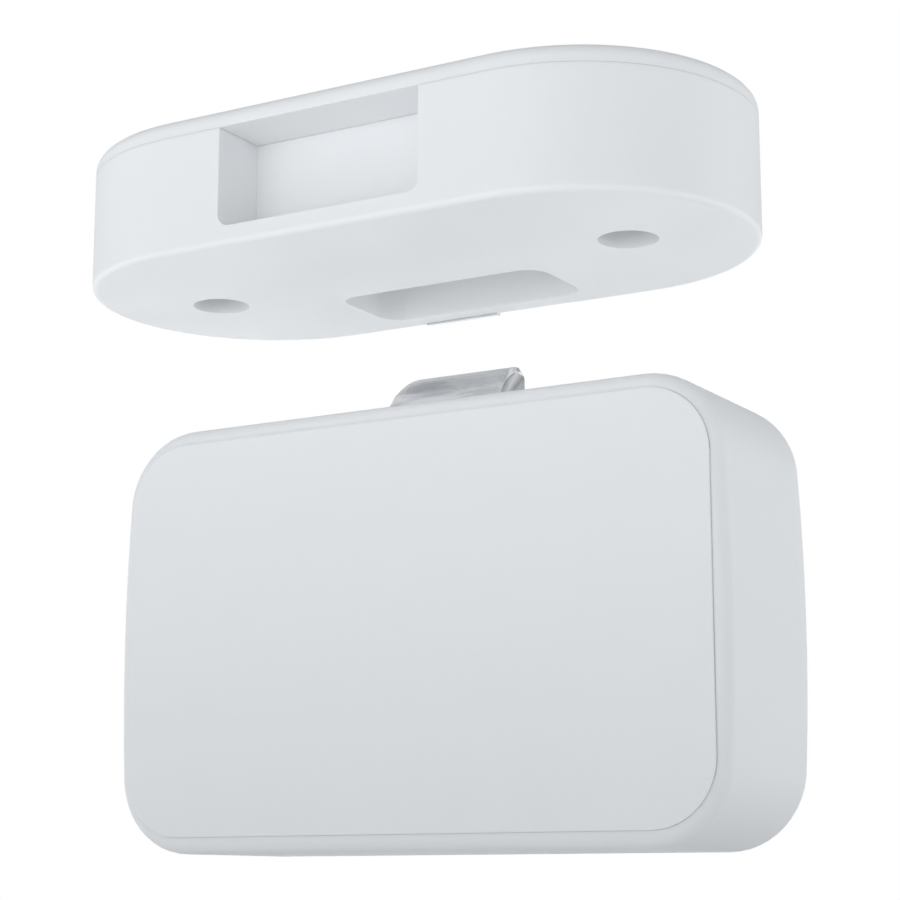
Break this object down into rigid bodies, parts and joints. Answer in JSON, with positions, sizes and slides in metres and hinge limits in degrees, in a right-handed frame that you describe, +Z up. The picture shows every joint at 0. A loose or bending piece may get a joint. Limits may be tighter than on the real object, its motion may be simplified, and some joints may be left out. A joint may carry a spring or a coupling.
{
  "type": "smart drawer lock with door contact",
  "caption": "Battery-powered drawer lock with a rounded white casing, a chromed spring latch on top and a separate round-ended strike box with a latch slot and a front window.",
  "frame": {"origin": "centre of the lock body's back, its mounting face", "axes": "+Y out of the mounting face (towards the drawer front), -Y to the lock's front cover, +Z up towards the latch and the strike box, +X right seen from the front"},
  "size_m": [0.0896, 0.0445, 0.0883],
  "materials": {
    "white_abs": "satin moulded ABS",
    "inner_abs": "fine texture",
    "latch_chrome": "polished, plated zinc",
    "screw_steel": "zinc plated",
    "spring_steel": "drawn wire",
    "cell_wrap": "printed sleeve with bare steel ends",
    "board_green": "solder mask over glass fibre",
    "chip_black": "moulded epoxy",
    "shield_can": "tinned sheet",
    "reed_glass": "sealed glass tube with wire ends",
    "led_lens": "clear epoxy",
    "button_blue": "satin",
    "carriage_nylon": "filled nylon",
    "pinion_nylon": "natural acetal",
    "motor_steel": "nickel plated",
    "gearbox_brass": "machined plates",
    "lead_pvc": "insulated wire",
    "foam_tape": "double-sided foam",
    "keeper_steel": "stamped, nickel plated",
    "magnet_nickel": "nickel plated"
  },
  "bodies": {
    "lock_body": {"housing": "white_abs", "chassis": "inner_abs", "chassis_screws": "screw_steel", "inner_cover": "inner_abs", "inner_cover_screws": "screw_steel", "adhesive_pads": "foam_tape", "battery_1": "cell_wrap", "battery_2": "cell_wrap", "battery_3": "cell_wrap", "battery_4": "cell_wrap", "battery_springs": "spring_steel", "battery_contacts": "screw_steel", "circuit_board": "board_green", "board_chips": "chip_black", "radio_module": "shield_can", "reed_sensor": "reed_glass", "buzzer": "chip_black", "status_led": "led_lens", "button_switch": "chip_black", "position_switch": "chip_black", "latch_guide": "screw_steel", "guide_screws": "screw_steel", "motor_can": "motor_steel", "gearbox": "gearbox_brass", "motor_leads": "lead_pvc"},
    "cover": {"front_cover": "white_abs"},
    "button": {"setting_button": "button_blue"},
    "drive": {"drive_pinion": "pinion_nylon", "output_shaft": "motor_steel"},
    "carriage": {"latch_carriage": "carriage_nylon", "latch_spring": "spring_steel"},
    "latch": {"latch_bolt": "latch_chrome"},
    "strike": {"strike_housing": "white_abs", "strike_cover": "white_abs", "strike_cover_screws": "screw_steel", "strike_plate": "keeper_steel", "strike_magnet": "magnet_nickel", "strike_pad": "foam_tape"}
  },
  "joints": [
    {"name": "carriage_slide", "type": "slide", "parent": "lock_body", "child": "carriage", "axis": [0, 0, -1], "range_m": [0, 0.007]},
    {"name": "pinion_spin", "type": "hinge", "parent": "lock_body", "child": "drive", "pos_m": [0.012, -0.0125, -0.0135], "axis": [-1, 0, 0], "range_deg": [0, 101]},
    {"name": "latch_slide", "type": "slide", "parent": "carriage", "child": "latch", "axis": [0, 0, -1], "range_m": [0, 0.007], "stiffness_N_per_m": 300, "springref_m": -0.005, "deforming": ["latch_spring"]},
    {"name": "button_press", "type": "slide", "parent": "lock_body", "child": "button", "axis": [0, 1, 0], "range_m": [0, 0.0003], "stiffness_N_per_m": 1200, "springref_m": -0.0002},
    {"name": "cover_lift", "type": "slide", "parent": "lock_body", "child": "cover", "axis": [0, -1, 0], "range_m": [0, 0.03]},
    {"name": "strike_approach", "type": "slide", "parent": "lock_body", "child": "strike", "axis": [0, 0, -1], "range_m": [0, 0.015]}
  ],
  "couplings": [
    {"joint": "pinion_spin", "follows": "carriage_slide", "rad_per_m": 250}
  ]
}
